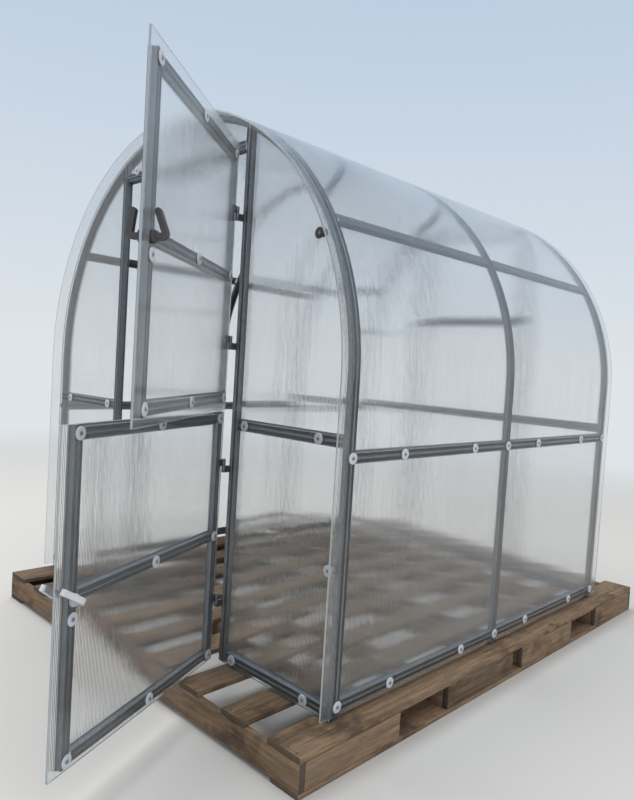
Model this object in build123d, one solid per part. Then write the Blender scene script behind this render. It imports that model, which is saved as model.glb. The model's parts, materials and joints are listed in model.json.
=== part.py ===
from build123d import *
import math
import os

# Arched greenhouse of hat-section steel and twin-wall sheet, standing on a timber transport pallet.
# Millimetres. X runs to the right seen from the door, Y runs from the door to the back, Z is up.
# The origin is the middle of the greenhouse's plan, at the level the pallet rests on.

# Overall size of the greenhouse
length_over_arches = 2000
width_over_sheet = 2000
leg_height = 1090
bay_count = 2

# Steel hat profile
profile_width = 45
profile_depth = 20
profile_wall = 1.5
crown_width = 30
web_foot_width = 33
groove_width = 9
groove_depth = 2

# Twin-wall sheet
sheet_thickness = 6
sheet_overhang = 50
cover_lift = 18
gable_sheet_lift = 5
gable_sheet_edge_gap = 1
gable_sheet_cover = 24
sheet_joint = 2

# Rails' centre lines above the greenhouse's foot, and the door head's below the top of the arch
side_bottom_rail_height = 46
side_mid_rail_height = 843
purlin_angle = 31.5
purlin_seat = 0.3
gable_bottom_rail_height = 28
gable_mid_rail_height = 892
door_head_drop = 174

# Doorway and the two door leaves
doorway_width = 820
jamb_clearance = 10
lower_frame_bottom = 15
lower_frame_top = 936
frame_gap = 30
frame_head_gap = 32
sheet_bottom_lap = 3
sheet_split_lap = 2
sheet_split_gap = 6
sheet_head_gap = 7
latch_lap = 45
leaf_stand_off = 6
lower_mid_rail_height = 480
upper_mid_rail_height = 1427
lower_open_angle = 114
upper_open_angle = 127

# Hinges
hinge_radius = 7
hinge_pin_radius = 3
hinge_pin_clearance = 0.06
hinge_length = 50
hinge_end_gap = 0.5
hinge_plate = 3
hinge_wing_fixed = 20
hinge_wing_moving = 40
lower_hinge_insets = (217, 199)
upper_hinge_insets = (224, 220)
leaf_hinge_gap = 12

# Turn handles
lower_handle_drop = 6
upper_handle_drop = 7
spindle_radius = 6
spindle_clearance = 1
hub_radius = 17.5
hub_thickness = 8
hub_gap = 0.3
bar_width = 17
bar_thickness = 17
bow_reach = 63
outer_bow_rise = 38
outer_tip_rise = 13.5
inner_bow_rise = 34
inner_tip_rise = 26
bow_round = 9
lower_handle_lift = 35

# Sheet washers
washer_radius = 19
washer_height = 4
washer_round = 2.5
screw_radius = 5.5
screw_height = 3
screw_round = 1
bay_washer_shares = (0.275, 0.735)
outer_washer_inset = 119
panel_washer_inset = 90
head_washer_inset = 80
head_washer_lift = 21
hinge_washer_inset = 5
lower_latch_washer_drop = 58
upper_latch_washer_drop = 51

# Door catches on the front arch
catch_radius = 11
catch_length = 18
lower_catch_inset = 25
upper_catch_inset = 36
lower_catch_height = 486
upper_catch_angle = 28.6

# Timber pallet
pallet_left_reach = 10
pallet_right_reach = 75
pallet_front_reach = 208
pallet_back_reach = 372
runner_width = 120
runner_thickness = 18
bearer_height = 90
bearer_thickness = 25
deck_thickness = 20
deck_board_width = 118
deck_edge_width = 145
deck_board_count = 9
fork_gap = 290
side_plank_end = 450
side_plank_inner = 485

# Worked out
pallet_height = runner_thickness + bearer_height + deck_thickness
foot = pallet_height
front_face = -length_over_arches / 2
back_face = length_over_arches / 2
steel_radius = width_over_sheet / 2 - sheet_thickness
inner_radius = steel_radius - profile_depth
spring = foot + leg_height
arch_pitch = (length_over_arches - profile_width) / bay_count
arch_ys = [front_face + profile_width / 2 + arch_pitch * i for i in range(bay_count + 1)]
jamb_x = (doorway_width + profile_width) / 2
jamb_outer = doorway_width / 2 + profile_width
gable_radius = steel_radius - gable_sheet_edge_gap
gable_sheet_x = doorway_width / 2 + gable_sheet_cover
leaf_sheet_back = front_face - sheet_thickness - leaf_stand_off
leaf_sheet_face = leaf_sheet_back - sheet_thickness
hinge_x = doorway_width / 2
hinge_y = leaf_sheet_face - hinge_plate
leaf_half = doorway_width / 2 - jamb_clearance
leaf_back = leaf_sheet_back + profile_depth
stile_x = leaf_half - profile_width / 2
sheet_hinge_edge = hinge_x - leaf_hinge_gap
sheet_latch_edge = -leaf_half - latch_lap
door_head_height = leg_height + steel_radius - door_head_drop
upper_frame_bottom = lower_frame_top + frame_gap
upper_frame_top = door_head_height - frame_head_gap
lower_sheet_bottom = lower_frame_bottom - sheet_bottom_lap
lower_sheet_top = lower_frame_top + sheet_split_lap
upper_sheet_bottom = lower_sheet_top + sheet_split_gap
upper_sheet_top = door_head_height - sheet_head_gap
lower_hinge_heights = (lower_frame_bottom + lower_hinge_insets[0],
                       lower_frame_top - lower_hinge_insets[1])
upper_hinge_heights = (upper_frame_bottom + upper_hinge_insets[0],
                       upper_frame_top - upper_hinge_insets[1])
lower_handle_height = lower_mid_rail_height - lower_handle_drop
upper_handle_height = upper_mid_rail_height - upper_handle_drop
outer_washer_x = steel_radius - outer_washer_inset
panel_washer_x = doorway_width / 2 + panel_washer_inset
head_washer_x = doorway_width / 2 - head_washer_inset
pallet_width = width_over_sheet + pallet_left_reach + pallet_right_reach
pallet_length = length_over_arches + pallet_front_reach + pallet_back_reach
pallet_shift_x = (pallet_right_reach - pallet_left_reach) / 2


def hat_section():
    """Open hat section: crown outside at v = 0, flanges at v = -profile_depth."""
    w = profile_width / 2
    c = crown_width / 2
    f = web_foot_width / 2
    g = groove_width / 2
    d = profile_depth
    t = profile_wall
    outer = [(-w, t - d), (-f, t - d), (-c, 0), (-g, 0), (0, -groove_depth),
             (g, 0), (c, 0), (f, t - d), (w, t - d)]
    inner = [(w, -d), (f - t, -d), (c - t, -t), (g, -t), (0, -groove_depth - t),
             (-g, -t), (t - c, -t), (t - f, -d), (-w, -d)]
    return make_face(Polyline(*outer, *inner, close=True))


def section_plane(origin, along, outward):
    """Plane across a bar: its normal runs along the bar and its y direction points outward."""
    return Plane(origin=origin, x_dir=outward.cross(along), z_dir=along)


def hat_bar(start, end, outward):
    """Straight hat bar; start and end lie on the middle of the crown's outer face."""
    along = (end - start).normalized()
    return extrude(section_plane(start, along, outward) * hat_section(), (end - start).length)


def box_between(low, high):
    """Box from its lowest to its highest corner."""
    size = [high[i] - low[i] for i in range(3)]
    middle = [(high[i] + low[i]) / 2 for i in range(3)]
    return Pos(*middle) * Box(*size)


def arch(y):
    """One arch: two straight legs and a half circle of the same hat profile."""
    up = Vector(0, 0, 1)
    right = hat_bar(Vector(steel_radius, y, foot), Vector(steel_radius, y, spring), Vector(1, 0, 0))
    left = hat_bar(Vector(-steel_radius, y, foot), Vector(-steel_radius, y, spring), Vector(-1, 0, 0))
    face = section_plane(Vector(steel_radius, y, spring), up, Vector(1, 0, 0)) * hat_section()
    hoop = revolve(face, axis=Axis((0, y, spring), (0, -1, 0)), revolution_arc=180)
    return right + left + hoop


def arch_outline(radius, bottom):
    """Flat outline of the gable inside a given radius, down to a given height."""
    sides = Polyline((radius, spring), (radius, bottom), (-radius, bottom), (-radius, spring))
    curve = ThreePointArc((-radius, spring), (0, spring + radius), (radius, spring))
    return make_face(sides.edges() + curve.edges())


def gable_block(radius, bottom, y_low, y_high):
    """The gable's outline as a block between two depths."""
    plane = Plane(origin=(0, y_high, 0), x_dir=(1, 0, 0), z_dir=(0, -1, 0))
    return extrude(plane * arch_outline(radius, bottom), y_high - y_low)


def gable_sheet(x_low, x_high, z_low, z_high, y_low, y_high):
    """The part of a gable sheet between given edges, cut to the arch."""
    block = gable_block(gable_radius, foot + gable_sheet_lift, y_low, y_high)
    return block & box_between((x_low, y_low - 1, z_low), (x_high, y_high + 1, z_high))


def cover_sheet():
    """One sheet bent over the arches, from one side's bottom rail to the other's."""
    reach = length_over_arches / 2 + sheet_overhang
    low = foot + cover_lift
    outside = gable_block(steel_radius + sheet_thickness, low, -reach, reach)
    inside = gable_block(steel_radius, low - 1, -reach - 1, reach + 1)
    return outside - inside


def side_rails(side, height):
    """Rails of one side at one height, one to each bay between the arches."""
    bars = []
    for first, second in zip(arch_ys[:-1], arch_ys[1:]):
        start = Vector(side * steel_radius, first + profile_width / 2, foot + height)
        end = Vector(side * steel_radius, second - profile_width / 2, foot + height)
        bars.append(hat_bar(start, end, Vector(side, 0, 0)))
    return bars


def purlins(side):
    """Rails on the curve of one side, their crowns square to the radius."""
    a = math.radians(purlin_angle)
    outward = Vector(side * math.cos(a), 0, math.sin(a))
    radius = steel_radius - purlin_seat
    bars = []
    for first, second in zip(arch_ys[:-1], arch_ys[1:]):
        centre = Vector(0, first + profile_width / 2, spring) + outward * radius
        end = Vector(0, second - profile_width / 2, spring) + outward * radius
        bars.append(hat_bar(centre, end, outward))
    return bars


def gable_post(x, face, outward):
    """Upright from the foot to the underside of the arch, crown on the gable's face."""
    bar = hat_bar(Vector(x, face, foot), Vector(x, face, spring + steel_radius), Vector(0, outward, 0))
    room = gable_block(inner_radius, foot, -length_over_arches, length_over_arches)
    return bar & room


def gable_bar(x_start, x_end, height, face, outward):
    """Level bar across a gable at a height above the foot."""
    start = Vector(x_start, face, foot + height)
    return hat_bar(start, Vector(x_end, face, foot + height), Vector(0, outward, 0))


def washer(point, outward):
    """Round plastic sheet washer with its screw's head, seated on a face."""
    plane = Plane(origin=point, z_dir=outward)
    disc = extrude(Circle(washer_radius), washer_height)
    disc = fillet(disc.edges().sort_by(Axis.Z)[-1], washer_round)
    head = Pos(0, 0, washer_height) * extrude(Circle(screw_radius), screw_height)
    head = fillet(head.edges().sort_by(Axis.Z)[-1], screw_round)
    return plane * (disc + head)


def side_washers(side):
    """Washers of one side: at each arch and twice in each bay, on the mid and bottom rails."""
    ys = list(arch_ys)
    for first in arch_ys[:-1]:
        ys += [first + arch_pitch * share for share in bay_washer_shares]
    face = side * width_over_sheet / 2
    out = []
    for height in (side_bottom_rail_height, side_mid_rail_height):
        out += [washer(Vector(face, y, foot + height), Vector(side, 0, 0)) for y in ys]
    return out


def gable_washers(points, face, outward):
    """Washers on a gable at (x, height) points."""
    return [washer(Vector(x, face, foot + h), Vector(0, outward, 0)) for x, h in points]


def on_leaf(angle):
    """Turn about the hinge line from the closed position to the open one."""
    return Pos(hinge_x, hinge_y, 0) * Rot(0, 0, angle) * Pos(-hinge_x, -hinge_y, 0)


def leaf_stiles(bottom, top, spindle_height):
    """The two uprights of a leaf, closed, with the spindle's hole in the latch one."""
    bars = []
    for x in (-stile_x, stile_x):
        start = Vector(x, leaf_sheet_back, foot + bottom)
        bars.append(hat_bar(start, Vector(x, leaf_sheet_back, foot + top), Vector(0, -1, 0)))
    bars[0] = bars[0] - spindle_hole(spindle_height)
    return bars


def leaf_rails(bottom, top, middle):
    """The three level bars of a leaf, closed, between its stiles."""
    half = stile_x - profile_width / 2
    heights = (bottom + profile_width / 2, middle, top - profile_width / 2)
    return [gable_bar(-half, half, h, leaf_sheet_back, -1) for h in heights]


def spindle_hole(height):
    """Clearance hole for a handle's spindle through the latch stile and the sheet."""
    plane = Plane(origin=(-stile_x, leaf_back + 1, foot + height), z_dir=(0, -1, 0))
    depth = profile_depth + sheet_thickness + 2
    return extrude(plane * Circle(spindle_radius + spindle_clearance), depth)


def leaf_sheet(bottom, top, spindle_height):
    """A leaf's sheet, closed, on the outside of its frame."""
    low = (sheet_latch_edge, leaf_sheet_face, foot + bottom)
    high = (sheet_hinge_edge, leaf_sheet_back, foot + top)
    return box_between(low, high) - spindle_hole(spindle_height)


def leaf_washers(bottom, top, middle, latch_drop):
    """Washers on a closed leaf's outside: three on each end rail, three about the middle one."""
    ends = (bottom + profile_width / 2, top - profile_width / 2)
    hinge_side = stile_x - hinge_washer_inset
    points = [(x, h) for x in (-stile_x, 0, hinge_side) for h in ends]
    points += [(0, middle), (hinge_side, middle), (-stile_x, middle - latch_drop)]
    return gable_washers(points, leaf_sheet_face, -1)


def hinge_fixed(height):
    """Fixed half of a hinge: lower knuckle with the pin, and a wing on the jamb."""
    low = foot + height - hinge_length / 2
    knuckle = Pos(hinge_x, hinge_y, low + hinge_length / 4) * Cylinder(hinge_radius, hinge_length / 2)
    pin = Pos(hinge_x, hinge_y, foot + height) * Cylinder(hinge_pin_radius, hinge_length)
    arm = box_between((hinge_x + 1, hinge_y, low), (hinge_x + hinge_radius, front_face, foot + height))
    wing = box_between((hinge_x + 1, front_face - hinge_plate, low),
                       (hinge_x + hinge_wing_fixed, front_face, foot + height))
    return knuckle + pin + arm + wing


def hinge_moving(height):
    """Moving half of a hinge, closed: upper knuckle and a wing on the leaf's sheet."""
    low = foot + height + hinge_end_gap
    high = foot + height + hinge_length / 2
    knuckle = Pos(hinge_x, hinge_y, (low + high) / 2) * Cylinder(hinge_radius, high - low)
    wing = box_between((hinge_x - hinge_wing_moving, hinge_y, low), (hinge_x, leaf_sheet_face, high))
    bore = Pos(hinge_x, hinge_y, foot + height) * Cylinder(hinge_pin_radius + hinge_pin_clearance,
                                                          2 * hinge_length)
    return knuckle + wing - bore


def bow(rise, tip_rise):
    """One bow of a handle in its own frame: the spindle along z, the round tip towards x."""
    line = FilletPolyline((0, 0), (0, rise), (bow_reach, tip_rise), radius=bow_round)
    band = trace(line, line_width=bar_thickness) + Pos(bow_reach, tip_rise) * Circle(bar_thickness / 2)
    solid = extrude(Plane.XZ * band, bar_width / 2, both=True)
    hub = Pos(0, 0, hub_thickness / 2) * Cylinder(hub_radius, hub_thickness)
    return hub + solid


def handle(height, tip):
    """Handle on a closed leaf: a bow outside, and one inside that turns behind the jamb."""
    outer_face = leaf_sheet_face - hub_gap
    inner_face = leaf_back + hub_gap
    outward = Plane(origin=(-stile_x, outer_face, foot + height), x_dir=tip, z_dir=(0, -1, 0))
    inward = Plane(origin=(-stile_x, inner_face, foot + height), x_dir=tip, z_dir=(0, -1, 0))
    spindle = extrude(inward * Circle(spindle_radius), inner_face - outer_face)
    outer = outward * bow(outer_bow_rise, outer_tip_rise)
    inner = inward * mirror(bow(inner_bow_rise, inner_tip_rise), Plane.XY)
    return spindle + outer + inner


def catch(radius, angle, height):
    """Stub with a sheet washer on its end, beside the front arch, that an open leaf comes to."""
    x = radius * math.cos(angle)
    z = height + radius * math.sin(angle)
    face = front_face - sheet_thickness
    stub = extrude(Plane(origin=(x, face, z), z_dir=(0, -1, 0)) * Circle(catch_radius), catch_length)
    return stub + washer(Vector(x, face - catch_length, z), Vector(0, -1, 0))


def pallet_ends():
    """Front and back of the pallet along Y."""
    start = front_face - pallet_front_reach
    return start, start + pallet_length


def pallet_runners():
    """Flat boards under the pallet, front to back: one at each side and one in the middle."""
    start, end = pallet_ends()
    reach = (pallet_width - runner_width) / 2
    out = []
    for x in (pallet_shift_x - reach, pallet_shift_x, pallet_shift_x + reach):
        out.append(box_between((x - runner_width / 2, start, 0),
                               (x + runner_width / 2, end, runner_thickness)))
    return out


def bearer_positions():
    """Where the bearers on edge start, from the pallet's front: at its ends and beside each gap."""
    t = bearer_thickness
    first = t + side_plank_end - t
    second = t + side_plank_end + fork_gap
    third = second + side_plank_inner - t
    half = [0, first, second, third]
    return half + [pallet_length - t - p for p in reversed(half)]


def pallet_bearers():
    """Planks on edge across the pallet, the end ones over its whole width."""
    start, end = pallet_ends()
    places = bearer_positions()
    z_low = runner_thickness
    z_high = runner_thickness + bearer_height
    out = []
    for number, place in enumerate(places):
        ends = number in (0, len(places) - 1)
        half = pallet_width / 2 if ends else pallet_width / 2 - bearer_thickness
        out.append(box_between((pallet_shift_x - half, start + place, z_low),
                               (pallet_shift_x + half, start + place + bearer_thickness, z_high)))
    return out


def side_plank_spans():
    """Front to back spans of the planks on edge along a side, with the fork gaps between."""
    t = bearer_thickness
    one = (t, t + side_plank_end)
    two = (one[1] + fork_gap, one[1] + fork_gap + side_plank_inner)
    return [one, two, (pallet_length - two[1], pallet_length - two[0]),
            (pallet_length - one[1], pallet_length - one[0])]


def pallet_side_planks():
    """Planks on edge along both sides of the pallet."""
    start, end = pallet_ends()
    z_low = runner_thickness
    z_high = runner_thickness + bearer_height
    out = []
    for side in (-1, 1):
        face = pallet_shift_x + side * pallet_width / 2
        xs = sorted((face, face - side * bearer_thickness))
        for low, high in side_plank_spans():
            out.append(box_between((xs[0], start + low, z_low), (xs[1], start + high, z_high)))
    return out


def pallet_deck():
    """Deck boards front to back, the two edge boards wider than the rest."""
    start, end = pallet_ends()
    z_low = runner_thickness + bearer_height
    reach = (pallet_width - deck_edge_width) / 2
    pitch = 2 * reach / (deck_board_count - 1)
    out = []
    for number in range(deck_board_count):
        edge = number in (0, deck_board_count - 1)
        half = (deck_edge_width if edge else deck_board_width) / 2
        x = pallet_shift_x - reach + pitch * number
        out.append(box_between((x - half, start, z_low), (x + half, end, pallet_height)))
    return out


def write(name, shape):
    """Write one node, of one solid or of several that stand apart."""
    solids = shape if isinstance(shape, list) else [shape]
    solids = [piece for item in solids for piece in item.solids()]
    body = solids[0] if len(solids) == 1 else Compound(children=solids)
    export_step(body, "parts/" + name + ".step")


def write_leaf(name, angle, frame, sheet, middle, latch_drop, hinge_heights, handle_height, tip):
    """Write one door leaf's nodes, turned to where it stands open."""
    turn = on_leaf(angle)
    nodes = {
        "_stiles": leaf_stiles(frame[0], frame[1], handle_height),
        "_rails": leaf_rails(frame[0], frame[1], middle),
        "_sheet": leaf_sheet(sheet[0], sheet[1], handle_height),
        "_washers": leaf_washers(frame[0], frame[1], middle, latch_drop),
        "_hinge_knuckles": [hinge_moving(h) for h in hinge_heights],
        "_handle": handle(handle_height, tip),
    }
    for suffix, shape in nodes.items():
        pieces = shape if isinstance(shape, list) else [shape]
        write(name + suffix, [turn * piece for piece in pieces])


os.makedirs("parts", exist_ok=True)

# Arches, rails and the cover
for name, y in zip(("front", "middle", "back"), arch_ys):
    write("arch_" + name, arch(y))
for name, side in (("right", 1), ("left", -1)):
    write(name + "_bottom_rails", side_rails(side, side_bottom_rail_height))
    write(name + "_mid_rails", side_rails(side, side_mid_rail_height))
    write(name + "_purlins", purlins(side))
    write(name + "_side_washers", side_washers(side))
write("cover_sheet", cover_sheet())

# Front gable with the doorway
gable_rail_heights = (gable_bottom_rail_height, gable_mid_rail_height)
sheet_front = front_face - sheet_thickness
top_of_arch = spring + steel_radius
write("front_right_jamb", gable_post(jamb_x, front_face, -1))
write("front_left_jamb", gable_post(-jamb_x, front_face, -1))
write("door_head", gable_bar(-doorway_width / 2, doorway_width / 2, door_head_height, front_face, -1))
for name, side in (("right", 1), ("left", -1)):
    ends = sorted((side * jamb_outer, side * inner_radius))
    write("front_" + name + "_rails",
          [gable_bar(ends[0], ends[1], h, front_face, -1) for h in gable_rail_heights])
    edges = sorted((side * gable_sheet_x, side * steel_radius))
    write("front_" + name + "_sheet",
          gable_sheet(edges[0], edges[1], foot, top_of_arch, sheet_front, front_face))
top_half = gable_sheet_x - sheet_joint
write("front_top_sheet",
      gable_sheet(-top_half, top_half, foot + door_head_height, top_of_arch, sheet_front, front_face))
front_points = [(side * x, h) for side in (-1, 1) for x in (outer_washer_x, panel_washer_x)
                for h in gable_rail_heights]
front_points += [(side * head_washer_x, door_head_height + head_washer_lift) for side in (-1, 1)]
write("front_washers", gable_washers(front_points, sheet_front, -1))

# Back gable, closed, with the same posts and rails
write("back_posts", [gable_post(side * jamb_x, back_face, 1) for side in (-1, 1)])
half_door = doorway_width / 2
back_high = (upper_mid_rail_height, door_head_height)
back_bars = [gable_bar(-half_door, half_door, h, back_face, 1) for h in gable_rail_heights + back_high]
for low, high in ((jamb_outer, inner_radius), (-inner_radius, -jamb_outer)):
    back_bars += [gable_bar(low, high, h, back_face, 1) for h in gable_rail_heights]
write("back_rails", back_bars)
write("back_sheet", gable_sheet(-steel_radius, steel_radius, foot, top_of_arch,
                                back_face, back_face + sheet_thickness))
back_points = [(side * x, h) for side in (-1, 1) for x in (outer_washer_x, jamb_x)
               for h in gable_rail_heights]
back_points += [(side * jamb_x, h) for side in (-1, 1) for h in back_high]
write("back_washers", gable_washers(back_points, back_face + sheet_thickness, 1))

# What the leaves hang on and come to
write("hinge_plates", [hinge_fixed(h) for h in lower_hinge_heights + upper_hinge_heights])
write("lower_catch", catch(steel_radius - lower_catch_inset, 0, foot + lower_catch_height))
write("upper_catch", catch(steel_radius - upper_catch_inset, math.radians(upper_catch_angle), spring))

# The two door leaves, standing open
write_leaf("lower_leaf", lower_open_angle, (lower_frame_bottom, lower_frame_top),
           (lower_sheet_bottom, lower_sheet_top), lower_mid_rail_height, lower_latch_washer_drop,
           lower_hinge_heights, lower_handle_height,
           (-math.cos(math.radians(lower_handle_lift)), 0, math.sin(math.radians(lower_handle_lift))))
write_leaf("upper_leaf", upper_open_angle, (upper_frame_bottom, upper_frame_top),
           (upper_sheet_bottom, upper_sheet_top), upper_mid_rail_height, upper_latch_washer_drop,
           upper_hinge_heights, upper_handle_height, (0, 0, 1))

# The pallet it stands on
write("pallet_deck_boards", pallet_deck())
write("pallet_bearers", pallet_bearers())
write("pallet_side_planks", pallet_side_planks())
write("pallet_runners", pallet_runners())
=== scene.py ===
# %% [markdown]
# # An arched greenhouse of twin-wall sheet, with its door standing open
#
# The greenhouse is a skeleton of galvanised hat profile with clear hollow sheets screwed over it.
# The sheets are what makes it hard: they let us see the frame behind them, smeared sideways by
# their flutes, and the frame in turn has to look like dull zinc and not like chrome. We keep the
# solids that carry load as they were constructed, and spend our effort on sheets, washers, timber
# and plastic.

# %% Load the model
import json
import math
import random

import bmesh
import bpy
from mathutils import Matrix, Vector, noise

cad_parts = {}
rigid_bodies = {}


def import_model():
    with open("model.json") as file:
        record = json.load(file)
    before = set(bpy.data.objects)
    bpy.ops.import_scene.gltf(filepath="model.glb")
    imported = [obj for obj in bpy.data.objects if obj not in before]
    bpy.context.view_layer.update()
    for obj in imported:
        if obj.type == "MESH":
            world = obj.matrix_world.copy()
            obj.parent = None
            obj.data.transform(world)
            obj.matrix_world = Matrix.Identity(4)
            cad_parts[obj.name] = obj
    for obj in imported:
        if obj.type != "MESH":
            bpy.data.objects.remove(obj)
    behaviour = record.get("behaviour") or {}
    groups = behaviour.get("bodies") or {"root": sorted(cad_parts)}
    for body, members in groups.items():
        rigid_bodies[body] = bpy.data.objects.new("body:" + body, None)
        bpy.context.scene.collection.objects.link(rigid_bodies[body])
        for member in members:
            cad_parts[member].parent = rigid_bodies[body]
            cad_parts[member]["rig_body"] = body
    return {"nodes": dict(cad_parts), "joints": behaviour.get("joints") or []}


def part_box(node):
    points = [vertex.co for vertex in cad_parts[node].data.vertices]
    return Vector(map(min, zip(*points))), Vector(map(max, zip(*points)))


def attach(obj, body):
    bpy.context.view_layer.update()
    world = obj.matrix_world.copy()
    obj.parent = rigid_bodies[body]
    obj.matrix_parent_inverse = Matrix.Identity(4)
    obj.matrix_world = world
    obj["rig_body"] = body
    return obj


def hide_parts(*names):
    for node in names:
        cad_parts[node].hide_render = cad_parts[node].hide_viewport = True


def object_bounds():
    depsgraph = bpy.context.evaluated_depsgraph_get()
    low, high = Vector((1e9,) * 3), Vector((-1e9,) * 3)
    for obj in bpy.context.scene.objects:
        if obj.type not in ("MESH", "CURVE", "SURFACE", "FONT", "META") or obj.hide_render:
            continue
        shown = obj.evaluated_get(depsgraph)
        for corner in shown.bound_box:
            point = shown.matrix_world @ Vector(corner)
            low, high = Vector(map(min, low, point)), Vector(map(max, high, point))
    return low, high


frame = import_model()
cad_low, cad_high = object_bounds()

scene = bpy.context.scene
nodes = frame["nodes"]
joints = {joint["name"]: joint for joint in frame["joints"]}

# %% [markdown]
# ## Where the camera stands
#
# A camera can be turned by hand until the picture looks right, or solved from points whose real
# places are known. We use solved values: a place, a yaw, a pitch, a small roll, and a focal
# length in picture heights, so that straight legs line up from the first render.

# %% Camera
picture_height_px = 800
focal_px = 673.06
sensor_mm = 36.0
camera_place = Vector((2.3738, -2.5580, 1.2517))
camera_yaw = math.radians(-44.35)
camera_pitch = math.radians(-2.86)
camera_roll = math.radians(3.52)


def camera_matrix(place, yaw, pitch, roll):
    """World matrix of a camera that looks along +Y at yaw 0; yaw turns it right, pitch up."""
    ahead = Vector((math.sin(yaw) * math.cos(pitch),
                    math.cos(yaw) * math.cos(pitch),
                    math.sin(pitch)))
    level = Vector((math.cos(yaw), -math.sin(yaw), 0))
    above = level.cross(ahead)
    right = math.cos(roll) * level + math.sin(roll) * above
    up = math.cos(roll) * above - math.sin(roll) * level
    turn = Matrix((right, up, -ahead)).transposed()
    return Matrix.Translation(place) @ turn.to_4x4()


camera_data = bpy.data.cameras.new("camera")
camera_data.sensor_width = sensor_mm
camera_data.lens = focal_px / picture_height_px * sensor_mm
camera = bpy.data.objects.new("camera", camera_data)
scene.collection.objects.link(camera)
camera.matrix_world = camera_matrix(camera_place, camera_yaw, camera_pitch, camera_roll)
scene.camera = camera
scene.view_settings.view_transform = "Standard"
print("camera lens", round(camera_data.lens, 2), "mm")

# %% [markdown]
# ## Helpers for materials
#
# A node tree is quicker to read in code when each node is made and filled in one line. The first
# helper empties a tree and hands back a function that does that, and a second one that links. The
# others stand for patterns that come back in many trees: a sum, a change of range, a blend of two
# colours, a mix of two shaders, the output, and what the camera sees without a diffuse bounce.

# %% Node helpers
def new_nodes(tree):
    """Empties a node tree and returns functions that add a node and link two sockets."""
    tree.nodes.clear()

    def add(kind, inputs=None, **values):
        node = tree.nodes.new(kind)
        for name, value in values.items():
            setattr(node, name, value)
        for name, value in (inputs or {}).items():
            node.inputs[name].default_value = value
        return node

    return add, tree.links.new


def new_material(name):
    """An empty node material with its add and link functions."""
    material = bpy.data.materials.new(name)
    material.use_nodes = True
    return (material, *new_nodes(material.node_tree))


def reckon(add, link, operation, *values):
    """Result of a math node; each value is a number or a socket."""
    node = add("ShaderNodeMath", operation=operation)
    for number, value in enumerate(values):
        if isinstance(value, (int, float)):
            node.inputs[number].default_value = value
        else:
            link(value, node.inputs[number])
    return node.outputs[0]


def ranged(add, link, value, low, high, to_low=0.0, to_high=1.0, **options):
    """A value carried from low..high to to_low..to_high, and held between them."""
    node = add("ShaderNodeMapRange",
               {"From Min": low, "From Max": high, "To Min": to_low, "To Max": to_high}, **options)
    link(value, node.inputs["Value"])
    return node.outputs[0]


def blend(add, link, factor, low, high):
    """A colour between two; each may be three numbers or a socket, and the factor is a socket."""
    mix = add("ShaderNodeMix", data_type="RGBA")
    for name, value in (("A", low), ("B", high)):
        if isinstance(value, tuple):
            mix.inputs[name].default_value = (*value, 1)
        else:
            link(value, mix.inputs[name])
    link(factor, mix.inputs["Factor"])
    return mix.outputs["Result"]


def mix_shaders(add, link, factor, first, second):
    """The first shader where the factor is 0 and the second where it is 1."""
    mix = add("ShaderNodeMixShader")
    for number, socket in enumerate((factor, first.outputs[0], second.outputs[0])):
        link(socket, mix.inputs[number])
    return mix


def show(add, link, shader, kind="ShaderNodeOutputMaterial"):
    """Links a shader to the output of its tree."""
    link(shader.outputs[0], add(kind).inputs["Surface"])


def seen_directly(add, link):
    """A socket that is 1 for what is seen by itself, in a mirror or through a clear sheet."""
    rays = add("ShaderNodeLightPath").outputs
    seen = reckon(add, link, "MAXIMUM", rays["Is Camera Ray"], rays["Is Glossy Ray"])
    return reckon(add, link, "MAXIMUM", seen, rays["Is Transmission Ray"])


# %% [markdown]
# ## A pale studio
#
# Clear sheets show whatever stands behind them, so the room matters more than for a solid thing.
# The backdrop shades from a pale horizon to a faint blue above, which gives the sheets something
# to bend. The floor fades into it some metres away, so that no hard horizon cuts through the
# sheets. An even light comes from all sides. One broad lamp hangs overhead, where the curved
# cover can't mirror it towards us, and a weaker one stands beside the camera.

# %% World
horizon_colour = (0.74, 0.78, 0.81)
zenith_colour = (0.42, 0.56, 0.74)
zenith_height = 0.65
world_light = 0.72

world = bpy.data.worlds.new("pale_room")
world.use_nodes = True
scene.world = world
add, link = new_nodes(world.node_tree)
place = add("ShaderNodeTexCoord")
parts = add("ShaderNodeSeparateXYZ")
link(place.outputs["Generated"], parts.inputs[0])
height = ranged(add, link, parts.outputs["Z"], 0.0, zenith_height)
lit = add("ShaderNodeBackground", {"Color": (1, 1, 1, 1), "Strength": world_light})
shown = add("ShaderNodeBackground", {"Strength": 1.0})
link(blend(add, link, height, horizon_colour, zenith_colour), shown.inputs["Color"])
backdrop = mix_shaders(add, link, seen_directly(add, link), lit, shown)
show(add, link, backdrop, "ShaderNodeOutputWorld")
print("world", world.name)

# %% Lamps
lamp_distance = 7.0
top_lamp_size, top_lamp_watts = 4.0, 360
front_lamp_size, front_lamp_watts = 5.0, 110


def area_lamp(name, place, aim, size, watts):
    """A square soft lamp at a place, turned towards a point."""
    data = bpy.data.lights.new(name, "AREA")
    data.size = size
    data.energy = watts
    lamp = bpy.data.objects.new(name, data)
    scene.collection.objects.link(lamp)
    turn = (aim - place).to_track_quat("-Z", "Y").to_matrix().to_4x4()
    lamp.matrix_world = Matrix.Translation(place) @ turn


middle = (cad_low + cad_high) / 2
overhead = Vector((-0.35, -0.12, 1.25)).normalized()
beside = Vector((0.9, -0.5, 0.9)).normalized()
area_lamp("top_lamp", middle + lamp_distance * overhead, middle, top_lamp_size, top_lamp_watts)
area_lamp("front_lamp", middle + lamp_distance * beside, middle, front_lamp_size, front_lamp_watts)
print("lamps aimed at", tuple(round(v, 3) for v in middle))

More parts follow.
